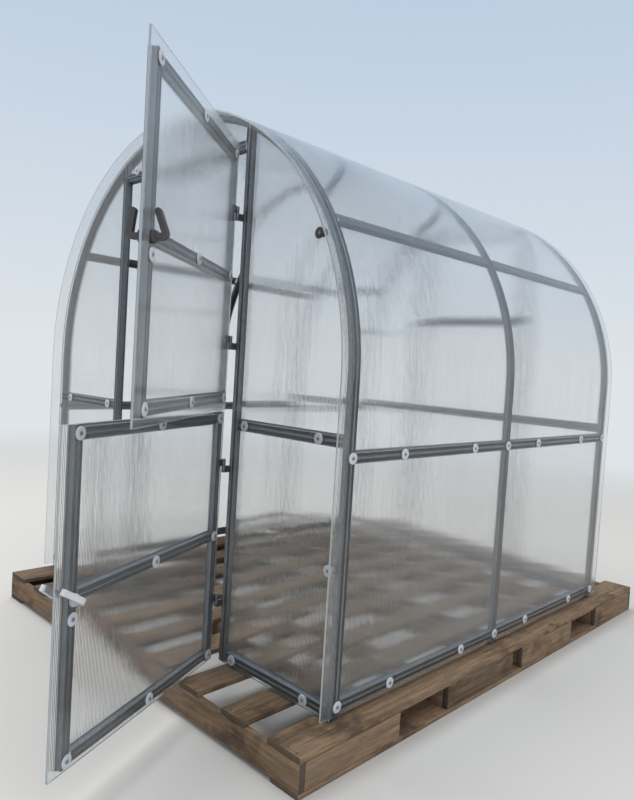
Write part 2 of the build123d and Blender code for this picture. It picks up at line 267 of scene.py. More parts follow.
# %% Floor
floor_colour = (0.62, 0.62, 0.61)
floor_radius = 40
floor_fade = (3.0, 9.0)

bm = bmesh.new()
bmesh.ops.create_circle(bm, cap_ends=True, segments=64, radius=floor_radius)
floor_mesh = bpy.data.meshes.new("floor")
bm.to_mesh(floor_mesh)
bm.free()
floor = bpy.data.objects.new("floor", floor_mesh)
scene.collection.objects.link(floor)
floor_paint, add, link = new_material("pale_floor")
place = add("ShaderNodeTexCoord")
distance = add("ShaderNodeVectorMath", operation="LENGTH")
link(place.outputs["Object"], distance.inputs[0])
far = ranged(add, link, distance.outputs["Value"], *floor_fade, interpolation_type="SMOOTHSTEP")
fade = reckon(add, link, "MULTIPLY", far, seen_directly(add, link))
paint = add("ShaderNodeBsdfDiffuse", {"Color": (*floor_colour, 1)})
glow = add("ShaderNodeEmission", {"Color": (*horizon_colour, 1), "Strength": 1.0})
show(add, link, mix_shaders(add, link, fade, paint, glow))
floor_mesh.materials.append(floor_paint)
print("floor fades from", floor_fade[0], "to", floor_fade[1], "m")

# %% [markdown]
# ## Helpers for pieces
#
# Light reaches the frame through many sheets, and a path that is cut short ends black, so the
# limits on bounces are raised here and caustics are left out. A new piece becomes an object, gets
# its material and rides on the body that carries it, in one call, so that no piece is forgotten.
# A door leaf is easiest to work on when it is closed, so each leaf gets a matrix that swings it
# from closed to where it stands open.

# %% Render paths and piece helpers
scene.cycles.caustics_reflective = False
scene.cycles.caustics_refractive = False
scene.cycles.transparent_max_bounces = 96
scene.cycles.max_bounces = 16
scene.cycles.transmission_bounces = 16

AT_HOME = Matrix.Identity(4)
merge_distance = 2e-5
flat_angle = math.radians(1.0)


def leaf_matrix(joint):
    """Turn about the hinge line that takes a closed leaf to where it stands open."""
    hinge = Vector(joints[joint]["pos_m"])
    turn = Matrix.Rotation(-math.radians(joints[joint]["range_deg"][0]), 4, "Z")
    return Matrix.Translation(hinge) @ turn @ Matrix.Translation(-hinge)


leaves = {leaf: leaf_matrix(leaf + "_hinge") for leaf in ("lower_leaf", "upper_leaf")}


def piece(name, bm, body, material, smooth=None):
    """Turns a bmesh into an object that rides on a body; smooth is in degrees, or None."""
    mesh = bpy.data.meshes.new(name)
    bm.to_mesh(mesh)
    bm.free()
    if smooth is not None:
        mesh.shade_smooth()
        mesh.set_sharp_from_angle(angle=math.radians(smooth))
    for one in material if isinstance(material, list) else [material]:
        mesh.materials.append(one)
    obj = bpy.data.objects.new(name, mesh)
    scene.collection.objects.link(obj)
    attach(obj, body)
    print(name, len(mesh.polygons), "faces")
    return obj


def dress(node, material):
    """Gives a constructed node its material."""
    mesh = nodes[node].data
    mesh.materials.clear()
    mesh.materials.append(material)


def span(points):
    """Lowest and highest corner of some points."""
    low = Vector([min(p[i] for p in points) for i in range(3)])
    high = Vector([max(p[i] for p in points) for i in range(3)])
    return low, high


def merged_copy(node):
    """A bmesh of a constructed node with its loose triangles joined into flat faces."""
    bm = bmesh.new()
    bm.from_mesh(nodes[node].data)
    bmesh.ops.remove_doubles(bm, verts=bm.verts, dist=merge_distance)
    bmesh.ops.dissolve_limit(bm, angle_limit=flat_angle, verts=bm.verts, edges=bm.edges)
    return bm


def islands(node, frame_matrix=AT_HOME):
    """Points of each separate solid of a node, turned back into a frame."""
    bm = merged_copy(node)
    back = frame_matrix.inverted()
    seen = set()
    found = []
    for start in bm.verts:
        if start in seen:
            continue
        seen.add(start)
        group = [start]
        for vert in group:
            for edge in vert.link_edges:
                other = edge.other_vert(vert)
                if other not in seen:
                    seen.add(other)
                    group.append(other)
        found.append([back @ vert.co for vert in group])
    bm.free()
    return found


def add_box(bm, low, high):
    """Adds a box between two corners and returns its vertices."""
    low, high = Vector(low), Vector(high)
    verts = bmesh.ops.create_cube(bm, size=1.0)["verts"]
    bmesh.ops.scale(bm, vec=high - low, verts=verts)
    bmesh.ops.translate(bm, vec=(low + high) / 2, verts=verts)
    return verts


def as_mesh(name, bm):
    """Stores a bmesh as a mesh to copy from."""
    mesh = bpy.data.meshes.new(name)
    bm.to_mesh(mesh)
    bm.free()
    return mesh


def add_copies(bm, template, matrices):
    """Adds a copy of a mesh for each matrix."""
    for matrix in matrices:
        start = len(bm.verts)
        bm.from_mesh(template)
        bm.verts.ensure_lookup_table()
        bmesh.ops.transform(bm, matrix=matrix, verts=bm.verts[start:])


# %% [markdown]
# ## Surface effects that several materials share
#
# Zinc, plastic and clear sheet vary slowly over a hand's width, and the first two vary finely over
# a millimetre too. One node group gives both as numbers, for stains and for grain. A second
# group draws the flutes of a sheet: the arched relief of each flute, the thin line where two
# flutes meet, and the long streaks that come from skins drawn a little thicker here and thinner
# there.

# %% Shared node groups
FLOAT, VECTOR = "NodeSocketFloat", "NodeSocketVector"
streak_stretch = 0.012
uneven_depth = (0.4, 0.75)
seam_heights = (0.18, 0.42)


def group_tree(name, inputs, outputs):
    """An empty shader node group with named sockets."""
    tree = bpy.data.node_groups.new(name, "ShaderNodeTree")
    for label, kind, value in inputs:
        socket = tree.interface.new_socket(label, in_out="INPUT", socket_type=kind)
        if value is not None:
            socket.default_value = value
    for label in outputs:
        tree.interface.new_socket(label, in_out="OUTPUT", socket_type=FLOAT)
    add, link = new_nodes(tree)
    return tree, add, link, add("NodeGroupInput"), add("NodeGroupOutput")


def make_variation():
    """Slow stains and fine grain from object coordinates."""
    tree, add, link, entry, leave = group_tree(
        "surface_variation",
        [("Vector", VECTOR, None), ("Stain Scale", FLOAT, 4.0), ("Grain Scale", FLOAT, 300.0)],
        ["Stain", "Grain"])
    for scale, detail, out in (("Stain Scale", 5.0, "Stain"), ("Grain Scale", 2.0, "Grain")):
        cloud = add("ShaderNodeTexNoise", {"Detail": detail, "Roughness": 0.6})
        link(entry.outputs["Vector"], cloud.inputs["Vector"])
        link(entry.outputs[scale], cloud.inputs["Scale"])
        link(cloud.outputs["Fac"], leave.inputs[out])
    return tree


def make_flutes():
    """Arched relief of each flute across a sheet, the line where two meet, and long streaks."""
    tree, add, link, entry, leave = group_tree(
        "flute_relief", [("Across", FLOAT, 0.0), ("Along", FLOAT, 0.0), ("Pitch", FLOAT, 0.006)],
        ["Height", "Line", "Streak"])
    turns = reckon(add, link, "DIVIDE", entry.outputs["Across"], entry.outputs["Pitch"])
    share = reckon(add, link, "FRACT", turns)
    product = reckon(add, link, "MULTIPLY", share, reckon(add, link, "SUBTRACT", 1.0, share))
    arch = reckon(add, link, "MULTIPLY", product, 4.0)
    place = add("ShaderNodeCombineXYZ")
    link(entry.outputs["Across"], place.inputs["X"])
    link(reckon(add, link, "MULTIPLY", entry.outputs["Along"], streak_stretch), place.inputs["Y"])
    streaks = add("ShaderNodeTexNoise", {"Scale": 110.0, "Detail": 4.0, "Roughness": 0.75})
    link(place.outputs[0], streaks.inputs["Vector"])
    streak = ranged(add, link, streaks.outputs["Fac"], 0.32, 0.68)
    uneven = reckon(add, link, "MULTIPLY_ADD", streak, *uneven_depth)
    link(reckon(add, link, "MULTIPLY", arch, uneven), leave.inputs["Height"])
    link(ranged(add, link, arch, *seam_heights, 1.0, 0.0), leave.inputs["Line"])
    link(streak, leave.inputs["Streak"])
    return tree


variation = make_variation()
flutes = make_flutes()


def varied(add, link, vector, stain_scale, grain_scale=300.0):
    """The outputs of the variation group, at two scales and at some coordinates."""
    group = add("ShaderNodeGroup", {"Stain Scale": stain_scale, "Grain Scale": grain_scale},
                node_tree=variation)
    link(vector, group.inputs["Vector"])
    return group.outputs


print("node groups", [tree.name for tree in bpy.data.node_groups])

# %% [markdown]
# ## The sheets
#
# Twin-wall sheet is two thin skins with a web every six millimetres. Each flute between two webs
# works as a narrow lens, so what stands behind is smeared across the flutes and stays sharp along
# them: a level bar shows through, an upright one melts away. A hollow sheet made skin by skin
# would cost a great deal to render, so the slab stays one clear solid whose faces carry the
# flutes as relief. Lamps pass through it, since a real sheet throws hardly a shadow.

# %% Sheet material
flute_pitch = 0.006
flute_depth = 0.00024
stain_range = (0.3, 0.7)
skin_roughness = (0.015, 0.035)
seam_roughness = 0.08
dull_skin, clear_skin = (0.925, 0.93, 0.935), (0.985, 0.99, 0.99)
seam_colour = (0.82, 0.85, 0.87)
lamp_tint = (0.93, 0.95, 0.96)


def sheet_place(add, link, frame_matrix):
    """Object coordinates of a piece, turned back into its closed frame."""
    place = add("ShaderNodeTexCoord")
    back = frame_matrix.inverted()
    mapping = add("ShaderNodeMapping",
                  {"Location": back.to_translation(), "Rotation": back.to_euler()},
                  vector_type="POINT")
    link(place.outputs["Object"], mapping.inputs["Vector"])
    return mapping.outputs["Vector"]


def flute_nodes(add, link, vector, axis):
    """The flute group fed with the coordinate across the flutes."""
    parts = add("ShaderNodeSeparateXYZ")
    link(vector, parts.inputs[0])
    relief = add("ShaderNodeGroup", {"Pitch": flute_pitch}, node_tree=flutes)
    link(parts.outputs[axis], relief.inputs["Across"])
    link(parts.outputs["Z"], relief.inputs["Along"])
    return relief


def sheet_material(name, axis, frame_matrix=AT_HOME):
    """Clear fluted sheet; axis is the coordinate across the flutes in the closed frame."""
    material, add, link = new_material(name)
    vector = sheet_place(add, link, frame_matrix)
    relief = flute_nodes(add, link, vector, axis)
    haze = varied(add, link, vector, 2.2)
    cloudy = ranged(add, link, haze["Stain"], *stain_range, *skin_roughness)
    rough = reckon(add, link, "MULTIPLY_ADD", relief.outputs["Line"], seam_roughness, cloudy)
    bump = add("ShaderNodeBump", {"Strength": 1.0, "Distance": flute_depth})
    link(relief.outputs["Height"], bump.inputs["Height"])
    clear = add("ShaderNodeBsdfPrincipled", {"Transmission Weight": 0.97, "IOR": 1.40})
    skin_colour = blend(add, link, relief.outputs["Streak"], dull_skin, clear_skin)
    colour = blend(add, link, relief.outputs["Line"], skin_colour, seam_colour)
    link(colour, clear.inputs["Base Color"])
    link(rough, clear.inputs["Roughness"])
    link(bump.outputs[0], clear.inputs["Normal"])
    through = add("ShaderNodeBsdfTransparent", {"Color": (*lamp_tint, 1)})
    shadow = add("ShaderNodeLightPath").outputs["Is Shadow Ray"]
    show(add, link, mix_shaders(add, link, shadow, clear, through))
    return material


gable_sheets = ("front_left_sheet", "front_right_sheet", "front_top_sheet", "back_sheet")
dress("cover_sheet", sheet_material("cover_sheet_clear", "Y"))
gable_clear = sheet_material("gable_sheet_clear", "X")
for name in gable_sheets:
    dress(name, gable_clear)
for leaf, matrix in leaves.items():
    dress(leaf + "_sheet", sheet_material(leaf + "_sheet_clear", "X", matrix))
print("sheets dressed:", len(gable_sheets) + len(leaves) + 1)

# %% [markdown]
# ## Webs inside the sheets
#
# From straight ahead the webs are hair lines, and from the side they overlap into a milky veil.
# No surface texture does that, so each web is a real strip between the skins. On the gables and
# the leaves they are upright; on the gables they end at the arch, on the leaves at the top of the
# sheet. The cover's webs follow the arch: one is spun and let down along both legs, and an array
# repeats it along the greenhouse.

# %% Web film and upright webs
skin = 0.0006
web_thickness = 0.0004
web_gap = 0.0005
spring_height = 1.218
gable_radius = 0.993
shortest_web = 0.01
film_alpha = (0.014, 0.038)

web_film, add, link = new_material("web_film")
haze = varied(add, link, sheet_place(add, link, AT_HOME), 3.0)
film = add("ShaderNodeBsdfPrincipled", {"Base Color": (0.90, 0.93, 0.96, 1), "Roughness": 0.3})
link(ranged(add, link, haze["Stain"], *stain_range, *film_alpha), film.inputs["Alpha"])
show(add, link, film)


def upright_webs(node, frame_matrix=AT_HOME):
    """Strips between the skins of a flat sheet, from its lower edge to its top or the arch."""
    back = frame_matrix.inverted()
    low, high = span([back @ vert.co for vert in nodes[node].data.vertices])
    bm = bmesh.new()
    for number in range(math.ceil(low.x / flute_pitch), math.floor(high.x / flute_pitch) + 1):
        x = number * flute_pitch
        top = high.z
        if node in gable_sheets:
            top = min(top, spring_height + math.sqrt(max(gable_radius ** 2 - x * x, 0)))
        if low.x + web_thickness < x < high.x - web_thickness and top > low.z + shortest_web:
            add_box(bm, (x - web_thickness / 2, low.y + skin, low.z + web_gap),
                    (x + web_thickness / 2, high.y - skin, top - web_gap))
    bmesh.ops.transform(bm, matrix=frame_matrix, verts=bm.verts)
    piece(node + "_webs", bm, nodes[node]["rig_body"], web_film)


for name in gable_sheets:
    upright_webs(name)
for leaf, matrix in leaves.items():
    upright_webs(leaf + "_sheet", matrix)

# %% Cover webs
cover_thickness = 0.006
hoop_steps = 24


def cover_webs():
    """One web spun along the arch and let down the legs, repeated along the greenhouse."""
    low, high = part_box("cover_sheet")
    start_y = math.ceil((low.y + web_gap) / flute_pitch) * flute_pitch
    bm = bmesh.new()
    bmesh.ops.create_grid(bm, x_segments=1, y_segments=1, size=0.5)
    bmesh.ops.scale(bm, vec=(cover_thickness - 2 * skin, web_thickness, 1), verts=bm.verts)
    start = (high.x - cover_thickness / 2, start_y, spring_height)
    bmesh.ops.translate(bm, vec=start, verts=bm.verts)
    bmesh.ops.delete(bm, geom=bm.faces[:], context="FACES_ONLY")
    first = bm.edges[:]
    made = bmesh.ops.spin(bm, geom=bm.verts[:] + first, cent=(0, 0, spring_height),
                          axis=(0, -1, 0), angle=math.pi, steps=hoop_steps)
    last = [item for item in made["geom_last"] if isinstance(item, bmesh.types.BMEdge)]
    for ring in (first, last):
        moved = bmesh.ops.extrude_edge_only(bm, edges=ring)["geom"]
        verts = [item for item in moved if isinstance(item, bmesh.types.BMVert)]
        bmesh.ops.translate(bm, vec=(0, 0, low.z + web_gap - spring_height), verts=verts)
    bmesh.ops.holes_fill(bm, edges=[edge for edge in bm.edges if edge.is_boundary], sides=4)
    bmesh.ops.recalc_face_normals(bm, faces=bm.faces)
    webs = piece("cover_sheet_webs", bm, nodes["cover_sheet"]["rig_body"], web_film)
    row = webs.modifiers.new("along_the_cover", "ARRAY")
    row.use_relative_offset = False
    row.use_constant_offset = True
    row.constant_offset_displace = (0, flute_pitch, 0)
    row.count = int((high.y - web_gap - start_y) / flute_pitch) + 1
    print("cover webs:", row.count)


cover_webs()

# %% [markdown]
# ## Cut edges of the sheets
#
# Where a sheet is sawn, its edge catches the light as a pale line, and on its top and bottom the
# open cells show; their hollows are painted dark as shade, with pale lines where the webs are cut.
# A clear solid alone would show a dark edge. A copy of the sheet keeps only its narrow faces, which
# are moved out by a hair and thickened into a thin frosted strip.

# %% Sheet edges
edge_lift = 0.0001
edge_thickness = 0.0004
fold_angle = 1.0
half_turned = 0.5
foot_slack = 0.001
# The hollow open cells are painted dark as shade; the cut webs between them are pale.
open_cell_shade, cut_web = (0.42, 0.48, 0.52), (0.80, 0.84, 0.86)


def edge_material(name, axis, frame_matrix=AT_HOME):
    """Frosted cut edge, with the open cells of the flutes painted dark as shade in it."""
    material, add, link = new_material(name)
    relief = flute_nodes(add, link, sheet_place(add, link, frame_matrix), axis)
    cut = add("ShaderNodeBsdfPrincipled", {"Roughness": 0.45, "Alpha": 0.88})
    # Painted shade in the open cells, pale where the webs are cut.
    link(blend(add, link, relief.outputs["Line"], open_cell_shade, cut_web), cut.inputs["Base Color"])
    show(add, link, cut)
    return material


def cut_edges(node, material, keep):
    """A thin strip over the faces of a sheet that keep() picks."""
    bm = merged_copy(node)
    bmesh.ops.delete(bm, geom=[face for face in bm.faces if not keep(face)], context="FACES")
    folds = [edge for edge in bm.edges if edge.calc_face_angle(0) > fold_angle]
    bmesh.ops.split_edges(bm, edges=folds)
    bm.normal_update()
    for vert in bm.verts:
        vert.co += vert.normal * edge_lift
    bmesh.ops.solidify(bm, geom=bm.faces[:], thickness=-edge_thickness)
    bmesh.ops.recalc_face_normals(bm, faces=bm.faces)
    piece(node + "_edges", bm, nodes[node]["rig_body"], material)


cover_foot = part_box("cover_sheet")[0].z
cut_edges("cover_sheet", edge_material("cover_edge", "Y"),
          lambda face: (abs(face.normal.y) > half_turned
                        or face.calc_center_median().z < cover_foot + foot_slack))
gable_edge = edge_material("gable_edge", "X")
for name in gable_sheets:
    cut_edges(name, gable_edge, lambda face: abs(face.normal.y) < half_turned)
for leaf, matrix in leaves.items():
    outward = matrix.to_3x3() @ Vector((0, -1, 0))
    cut_edges(leaf + "_sheet", edge_material(leaf + "_edge", "X", matrix),
              lambda face: abs(face.normal.dot(outward)) < half_turned)

# %% [markdown]
# ## Galvanised steel
#
# Zinc on cold-rolled strip has a faint spangle of crystals, a dull sheen and a colder grey than
# bare steel. Cells of a Voronoi texture give each crystal its own shade and gloss, slow stains
# darken it where water has stood, and a fine grain keeps its highlights from looking polished.

# %% Steel material
stain_share = 0.7
crystal_share = 0.40
light_shade = 1.6


def steel_material(name, colour, roughness=0.42, metal=0.85, spangle=110.0):
    """Dull zinc with a faint spangle; colour is the darker of its two shades."""
    material, add, link = new_material(name)
    place = add("ShaderNodeTexCoord")
    cells = add("ShaderNodeTexVoronoi", {"Scale": spangle, "Randomness": 1.0}, feature="F1")
    link(place.outputs["Object"], cells.inputs["Vector"])
    shade = add("ShaderNodeSeparateColor")
    link(cells.outputs["Color"], shade.inputs[0])
    stains = varied(add, link, place.outputs["Object"], 6.0, 700.0)
    stain = reckon(add, link, "MULTIPLY", stains["Stain"], stain_share)
    tone = reckon(add, link, "MULTIPLY_ADD", shade.outputs[0], crystal_share, stain)
    lighter = tuple(min(1.0, c * light_shade) for c in colour)
    bump = add("ShaderNodeBump", {"Strength": 0.15, "Distance": 0.0004})
    link(stains["Grain"], bump.inputs["Height"])
    surface = add("ShaderNodeBsdfPrincipled", {"Metallic": metal})
    link(blend(add, link, tone, colour, lighter), surface.inputs["Base Color"])
    link(ranged(add, link, shade.outputs[1], 0.0, 1.0, roughness - 0.08, roughness + 0.12),
         surface.inputs["Roughness"])
    link(bump.outputs[0], surface.inputs["Normal"])
    show(add, link, surface)
    return material


zinc = steel_material("galvanised_steel", (0.118, 0.133, 0.146))
steel_ends = ("rails", "purlins", "jamb", "posts", "stiles", "door_head")
steel_nodes = [name for name in nodes if name.startswith("arch_") or name.endswith(steel_ends)]
for name in steel_nodes:
    dress(name, zinc)
print("steel nodes dressed:", len(steel_nodes))

# %% [markdown]
# ## Washers and screws
#
# A sheet washer spreads a screw's pull over the hollow sheet. It is a moulded disc with a rounded
# rim, a ring groove, and a seat for the hexagon head. The floor of the seat and the socket in each
# screw head are painted near black as shade in these recesses. We draw one half outline and spin
# it, then set a copy on every place where the constructed washers sit. The screws are real ones:
# their points come out on the inside of the frame.

# %% Moulded plastic
def plastic_material(name, colour, darker, roughness=0.38, soft=0.0):
    """Moulded plastic with slow fading, fine grain and a little light let through."""
    material, add, link = new_material(name)
    place = add("ShaderNodeTexCoord")
    wear = varied(add, link, place.outputs["Object"], 22.0, 900.0)
    bump = add("ShaderNodeBump", {"Strength": 0.2, "Distance": 0.0003})
    link(wear["Grain"], bump.inputs["Height"])
    surface = add("ShaderNodeBsdfPrincipled",
                  {"Subsurface Weight": soft, "Subsurface Scale": 0.004})
    link(blend(add, link, wear["Stain"], darker, colour), surface.inputs["Base Color"])
    link(ranged(add, link, wear["Stain"], 0.0, 1.0, roughness - 0.08, roughness + 0.14),
         surface.inputs["Roughness"])
    link(bump.outputs[0], surface.inputs["Normal"])
    show(add, link, surface)
    return material


washer_plastic = plastic_material(
    "washer_plastic", (0.66, 0.70, 0.77), (0.50, 0.55, 0.63), soft=0.3)
# Near-black paint for the floor of each seat and the socket of each screw: painted shade in these
# recesses.
recess_shade = plastic_material(
    "painted_recess_shade", (0.05, 0.05, 0.055), (0.03, 0.03, 0.033), roughness=0.7)
white_plastic = plastic_material(
    "white_plastic", (0.66, 0.69, 0.75), (0.54, 0.57, 0.63), roughness=0.35, soft=0.15)
black_plastic = plastic_material(
    "black_plastic", (0.085, 0.08, 0.085), (0.05, 0.048, 0.05), roughness=0.5)
screw_zinc = steel_material("screw_zinc", (0.27, 0.28, 0.30), metal=0.6, spangle=900.0)
print("plastics and screw zinc made")

# %% Washer and screw shapes
washer_outline_mm = [(0, 0), (18.2, 0), (19, 0.8), (19, 2.2), (18.3, 3.2), (16.8, 3.8), (13.4, 4.0),
                     (12.8, 3.5), (12.2, 4.0), (6.8, 4.0), (6.0, 3.4), (5.8, 2.4), (0, 2.4)]
catch_radius_mm, catch_height_mm = 11, 18
catch_outline_mm = [(0, 0), (catch_radius_mm, 0), (catch_radius_mm, catch_height_mm)]
catch_outline_mm += [(r, h + catch_height_mm) for r, h in washer_outline_mm[1:]]
screw_outline_mm = [(0, -31), (1.2, -29), (2.3, -25), (2.4, 2.4), (4.9, 2.4), (5.1, 4.4),
                    (4.5, 5.5), (2.7, 5.9), (2.5, 5.6), (2.4, 3.9), (0, 3.9)]
seat_radius_mm, seat_height_mm = 5.9, 2.3
socket_radius_mm, socket_height_mm = 2.6, 3.8
washer_steps, screw_steps = 28, 12


def spun(outline_mm, steps, shade_radius_mm, shade_height_mm):
    """A closed shape spun about Z from a half outline, with material 1, painted shade, in its
    middle recess.
    """
    bm = bmesh.new()
    verts = [bm.verts.new((r / 1000, 0, h / 1000)) for r, h in outline_mm]
    edges = [bm.edges.new(pair) for pair in zip(verts, verts[1:])]
    bmesh.ops.spin(bm, geom=verts + edges, cent=(0, 0, 0), axis=(0, 0, 1), angle=2 * math.pi,
                   steps=steps, use_merge=True)
    bmesh.ops.remove_doubles(bm, verts=bm.verts, dist=1e-6)
    bmesh.ops.recalc_face_normals(bm, faces=bm.faces)
    # Faces inside the middle recess take material 1, the painted shade.
    for face in bm.faces:
        middle = face.calc_center_median() * 1000
        inside = math.hypot(middle.x, middle.y) < shade_radius_mm
        face.material_index = int(inside and middle.z > shade_height_mm)
    return as_mesh("spun_shape", bm)


washer_mesh = spun(washer_outline_mm, washer_steps, seat_radius_mm, seat_height_mm)
catch_mesh = spun(catch_outline_mm, washer_steps, seat_radius_mm, catch_height_mm + seat_height_mm)
screw_mesh = spun(screw_outline_mm, screw_steps, socket_radius_mm, socket_height_mm)
print("washer faces", len(washer_mesh.polygons), "screw faces", len(screw_mesh.polygons))

# %% Washers in their places
def seats(node, outward, frame_matrix=AT_HOME):
    """Matrices that set a shape's +Z along outward on the seat of each solid of a node."""
    outward = Vector(outward)
    turn = outward.to_track_quat("Z", "Y").to_matrix().to_4x4()
    out = []
    for points in islands(node, frame_matrix):
        low, high = span(points)
        seat = (low + high) / 2
        seat += outward * (min(point.dot(outward) for point in points) - seat.dot(outward))
        out.append(frame_matrix @ Matrix.Translation(seat) @ turn)
    return out


def fasteners(node, outward, shape, plastic, frame_matrix=AT_HOME, lift=0.0):
    """Detailed moulded shapes with screws in the place of a node of plain ones."""
    places = seats(node, outward, frame_matrix)
    body = nodes[node]["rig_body"]
    discs = bmesh.new()
    add_copies(discs, shape, places)
    # The second material paints shade into the seats of the discs and the sockets of the screws.
    disc_piece = piece(node + "_discs", discs, body, [plastic, recess_shade], smooth=40)
    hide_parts(node)
    heads = bmesh.new()
    add_copies(heads, screw_mesh, [place @ Matrix.Translation((0, 0, lift)) for place in places])
    piece(node + "_screws", heads, body, [screw_zinc, recess_shade], smooth=35)
    return len(places)


rows = [("front_washers", (0, -1, 0)), ("back_washers", (0, 1, 0)),
        ("right_side_washers", (1, 0, 0)), ("left_side_washers", (-1, 0, 0))]
count = 0
for node, way in rows:
    count += fasteners(node, way, washer_mesh, washer_plastic)
for leaf, matrix in leaves.items():
    count += fasteners(leaf + "_washers", (0, -1, 0), washer_mesh, washer_plastic,
                       matrix)
catch_height = catch_height_mm / 1000
fasteners("lower_catch", (0, -1, 0), catch_mesh, white_plastic, lift=catch_height)
fasteners("upper_catch", (0, -1, 0), catch_mesh, black_plastic, lift=catch_height)
print("washers set:", count)

# %% [markdown]
# ## Handles and hinges
#
# The turn handles are moulded bars with generous roundings, which the constructed solids don't
# have. Their copies are filled with even cells and smoothed, which rounds every edge alike, and
# stand for the originals. The lower handle is white plastic and the upper one near black. The
# hinges are darker steel, with small bevels on their edges.

# %% Handles and hinges
handle_cell = 0.0012
smooth_passes = 4
hinge_rounding = 0.0005


def moulded_copy(node, material):
    """A copy of a node with all its edges rounded, in its place."""
    obj = piece(node + "_moulded", merged_copy(node), nodes[node]["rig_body"], material)
    cells = obj.modifiers.new("even_cells", "REMESH")
    cells.mode = "VOXEL"
    cells.voxel_size = handle_cell
    cells.use_smooth_shade = True
    rounding = obj.modifiers.new("rounding", "SMOOTH")
    rounding.factor = 0.5
    rounding.iterations = smooth_passes
    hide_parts(node)


def soften_edges(node, width):
    """Small bevels on a constructed node, by modifiers, with its mesh left alone."""
    weld = nodes[node].modifiers.new("weld", "WELD")
    weld.merge_threshold = merge_distance
    bevel = nodes[node].modifiers.new("bevel", "BEVEL")
    bevel.width = width
    bevel.segments = 2
    bevel.limit_method = "ANGLE"
    bevel.angle_limit = math.radians(40)


moulded_copy("lower_leaf_handle", white_plastic)
moulded_copy("upper_leaf_handle", black_plastic)
hinge_steel = steel_material("hinge_steel", (0.115, 0.125, 0.14), roughness=0.36, spangle=260.0)
for name in ("hinge_plates", "lower_leaf_hinge_knuckles", "upper_leaf_hinge_knuckles"):
    dress(name, hinge_steel)
    soften_edges(name, hinge_rounding)

# %% [markdown]
# ## The pallet's timber
#
# Sawn pallet boards are never straight or clean: their edges are worn, they cup and bow a little,
# and each has its own grain, knots and greyness. Every constructed board is replaced by a
# subdivided one with soft edges and a slight bend from seeded noise. A number stored on its faces
# shifts the grain, so that one material serves all boards of one direction.

# %% Timber node group
board_shift = (17.3, 9.1, 5.7)


def make_timber():
    """Figure, fine fibres, knots and weathering of sawn timber whose fibres run along X."""
    tree, add, link, entry, leave = group_tree(
        "timber_figure", [("Vector", VECTOR, None), ("Board", FLOAT, 0.0)],
        ["Figure", "Fibre", "Knot", "Weather"])
    shift = add("ShaderNodeVectorMath", {0: board_shift}, operation="SCALE")
    link(entry.outputs["Board"], shift.inputs["Scale"])
    own = add("ShaderNodeVectorMath", operation="ADD")
    link(entry.outputs["Vector"], own.inputs[0])
    link(shift.outputs[0], own.inputs[1])

    def stretched(factor):
        node = add("ShaderNodeVectorMath", {1: (factor, 1, 1)}, operation="MULTIPLY")
        link(own.outputs[0], node.inputs[0])
        return node.outputs[0]

    figure = add("ShaderNodeTexNoise",
                 {"Scale": 64.0, "Detail": 5.0, "Roughness": 0.62, "Distortion": 0.9})
    link(stretched(0.07), figure.inputs["Vector"])
    link(figure.outputs["Fac"], leave.inputs["Figure"])
    fibre = add("ShaderNodeTexNoise", {"Scale": 420.0, "Detail": 3.0, "Roughness": 0.7})
    link(stretched(0.03), fibre.inputs["Vector"])
    link(fibre.outputs["Fac"], leave.inputs["Fibre"])
    cells = add("ShaderNodeTexVoronoi", {"Scale": 5.5, "Randomness": 1.0}, feature="F1")
    link(stretched(0.55), cells.inputs["Vector"])
    knot = ranged(add, link, cells.outputs["Distance"], 0.05, 0.11, 1.0, 0.0,
                  interpolation_type="SMOOTHSTEP")
    link(knot, leave.inputs["Knot"])
    weather = add("ShaderNodeTexNoise", {"Scale": 3.2, "Detail": 4.0, "Roughness": 0.65})
    link(own.outputs[0], weather.inputs["Vector"])
    link(weather.outputs["Fac"], leave.inputs["Weather"])
    return tree


timber_figure = make_timber()


# %% Timber material
late_wood, early_wood = (0.122, 0.074, 0.042), (0.385, 0.252, 0.148)
grey_wood = (0.19, 0.15, 0.117)
wet_stain = (0.068, 0.05, 0.039)
knot_colour = (0.07, 0.045, 0.03)
end_grain = (0.11, 0.085, 0.065)


